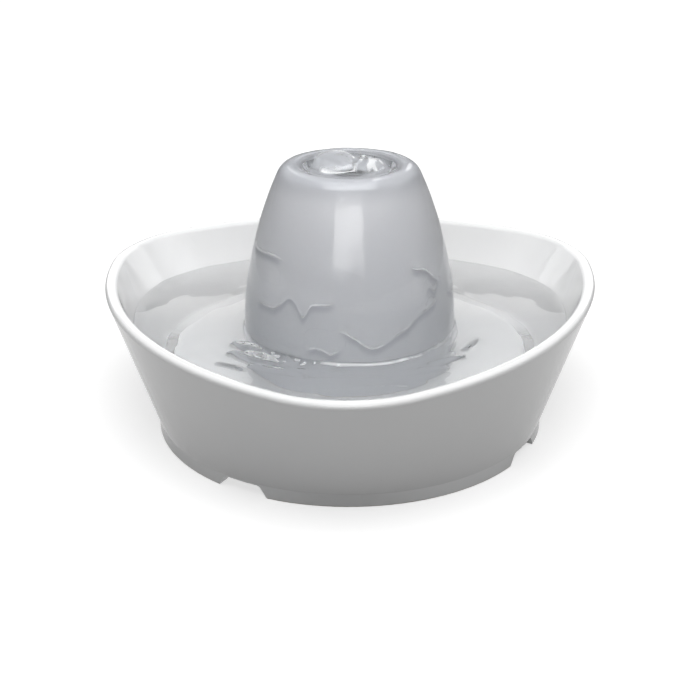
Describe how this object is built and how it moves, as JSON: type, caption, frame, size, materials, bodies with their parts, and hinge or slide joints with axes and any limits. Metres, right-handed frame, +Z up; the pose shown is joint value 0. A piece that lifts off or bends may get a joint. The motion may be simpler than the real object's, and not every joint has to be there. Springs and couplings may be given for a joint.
{
  "type": "pet water fountain",
  "caption": "Rounded three-cornered glazed bowl on a notched foot ring, with a lift-off hollow dome over a filter housing and a small magnet-driven pump that feeds a dished top.",
  "frame": {"origin": "centre of the foot ring on the surface that the fountain stands on, on the dome's axis", "axes": "+Z up along the dome's axis, -Y towards the front corner of the bowl, +X to the right seen from the front"},
  "size_m": [0.2816, 0.2825, 0.149],
  "materials": {
    "white_glaze": "gloss",
    "clear_silicone": "satin",
    "housing_plastic": "satin",
    "clear_tube": "gloss",
    "cartridge_plastic": "matte",
    "fleece": "matte",
    "carbon": "matte",
    "foam": "matte",
    "pump_plastic": "satin",
    "slider_plastic": "satin",
    "black_rubber": "matte",
    "resin": "gloss",
    "shaft_ceramic": "polished",
    "impeller_plastic": "gloss",
    "magnet_ferrite": "satin",
    "core_steel": "satin",
    "bobbin_plastic": "satin",
    "copper_wire": "gloss",
    "lead_sheath": "satin",
    "cup_silicone": "satin"
  },
  "bodies": {
    "bowl": {"ceramic_bowl": "white_glaze", "riser_tube": "clear_tube", "filter_housing": "housing_plastic", "housing_lid": "housing_plastic", "cartridge_frame": "cartridge_plastic", "cartridge_fleece": "fleece", "carbon_granules": "carbon", "foam_prefilter": "foam", "pump_case": "pump_plastic", "cover_gasket": "black_rubber", "pump_front_cover": "pump_plastic", "resin_fill": "resin", "impeller_shaft": "shaft_ceramic", "rear_bush": "black_rubber", "front_bush": "black_rubber", "stator_core": "core_steel", "coil_bobbin": "bobbin_plastic", "coil_winding": "copper_wire", "lead_gland": "black_rubber", "floor_grommet": "black_rubber", "pump_lead": "lead_sheath", "suction_cups": "cup_silicone"},
    "dome": {"ceramic_dome": "white_glaze", "outlet_seal": "clear_silicone"},
    "rotor": {"impeller": "impeller_plastic", "rotor_magnet": "magnet_ferrite"},
    "slider": {"flow_slider": "slider_plastic"}
  },
  "joints": [
    {"name": "dome_lift", "type": "slide", "parent": "bowl", "child": "dome", "axis": [0, 0, 1], "range_m": [0, 0.16]},
    {"name": "impeller_spin", "type": "hinge", "parent": "bowl", "child": "rotor", "pos_m": [0, 0, 0.043], "axis": [0, 1, 0], "continuous": true},
    {"name": "flow_slide", "type": "slide", "parent": "bowl", "child": "slider", "axis": [1, 0, 0], "range_m": [0, 0.0025]}
  ]
}
